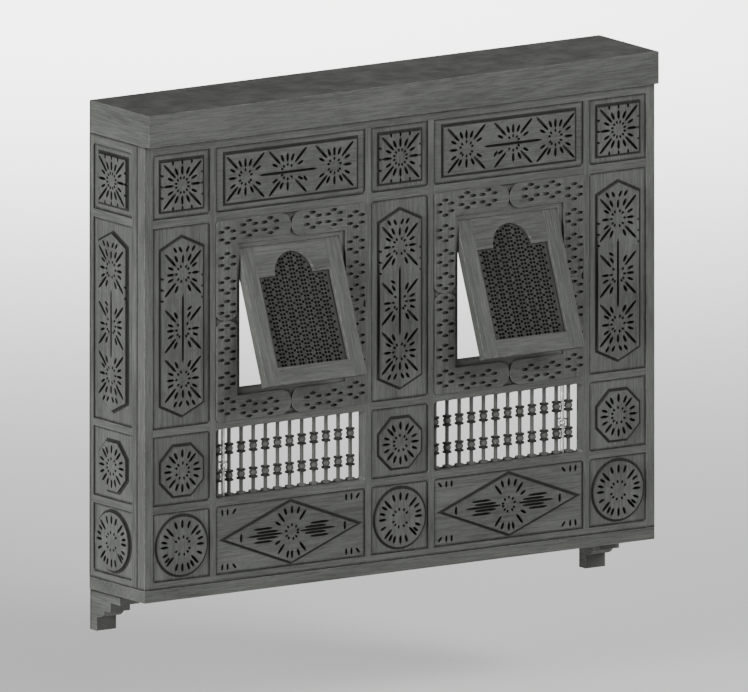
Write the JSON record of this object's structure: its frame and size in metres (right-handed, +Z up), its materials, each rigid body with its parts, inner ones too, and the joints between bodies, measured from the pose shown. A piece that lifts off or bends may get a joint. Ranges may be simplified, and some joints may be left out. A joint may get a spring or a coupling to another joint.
{
  "type": "mashrabiya screen",
  "caption": "Projecting timber mashrabiya bay with carved pierced panels, baluster rows and top-hung lattice flaps, made to be fixed to a wall on stepped brackets.",
  "frame": {"origin": "centre of the floor board's back edge face, where the bay meets the wall", "axes": "+X along the front, to the viewer's right; +Y into the wall; +Z up"},
  "size_m": [2.514, 0.5918, 2.1883],
  "materials": {
    "frame_timber": "weathered dark grey stain",
    "panel_timber": "weathered dark grey stain",
    "turned_timber": "weathered dark grey stain",
    "tinned_iron": "dull pale metal"
  },
  "bodies": {
    "screen": {"baluster_grille_left": "turned_timber", "baluster_grille_right": "turned_timber", "corner_plate_left_bottom_left": "panel_timber", "corner_plate_left_bottom_right": "panel_timber", "corner_plate_left_top_left": "panel_timber", "corner_plate_left_top_right": "panel_timber", "corner_plate_right_bottom_left": "panel_timber", "corner_plate_right_bottom_right": "panel_timber", "corner_plate_right_top_left": "panel_timber", "corner_plate_right_top_right": "panel_timber", "cornice": "frame_timber", "floor_board": "frame_timber", "front_bottom_rail": "frame_timber", "front_diamond_panel_window_left": "panel_timber", "front_diamond_panel_window_right": "panel_timber", "front_disc_panel_left": "panel_timber", "front_disc_panel_middle": "panel_timber", "front_disc_panel_right": "panel_timber", "front_grid": "frame_timber", "front_hexagon_panel_left": "panel_timber", "front_hexagon_panel_middle": "panel_timber", "front_hexagon_panel_right": "panel_timber", "front_octagon_panel_left": "panel_timber", "front_octagon_panel_middle": "panel_timber", "front_octagon_panel_right": "panel_timber", "front_rectangle_panel_window_left": "panel_timber", "front_rectangle_panel_window_right": "panel_timber", "front_square_panel_left": "panel_timber", "front_square_panel_middle": "panel_timber", "front_square_panel_right": "panel_timber", "front_stile_left": "frame_timber", "front_stile_right": "frame_timber", "front_top_rail": "frame_timber", "left_side_disc_panel": "panel_timber", "left_side_hexagon_panel": "panel_timber", "left_side_octagon_panel": "panel_timber", "left_side_square_panel": "panel_timber", "right_side_disc_panel": "panel_timber", "right_side_hexagon_panel": "panel_timber", "right_side_octagon_panel": "panel_timber", "right_side_square_panel": "panel_timber", "side_frame_left": "frame_timber", "side_frame_right": "frame_timber", "tie_rod_left": "tinned_iron", "tie_rod_right": "tinned_iron", "wall_bracket_left": "frame_timber", "wall_bracket_right": "frame_timber", "window_casing_left": "panel_timber", "window_casing_right": "panel_timber"},
    "flap_left": {"flap_grille_left": "panel_timber", "flap_left": "frame_timber"},
    "flap_right": {"flap_grille_right": "panel_timber", "flap_right": "frame_timber"}
  },
  "joints": [
    {"name": "flap_left_hinge", "type": "hinge", "parent": "screen", "child": "flap_left", "pos_m": [-0.5345, -0.3843, 1.393], "axis": [-1, 0, 0], "range_deg": [-21, 39]},
    {"name": "flap_right_hinge", "type": "hinge", "parent": "screen", "child": "flap_right", "pos_m": [0.5345, -0.3843, 1.393], "axis": [-1, 0, 0], "range_deg": [-21, 39]}
  ]
}
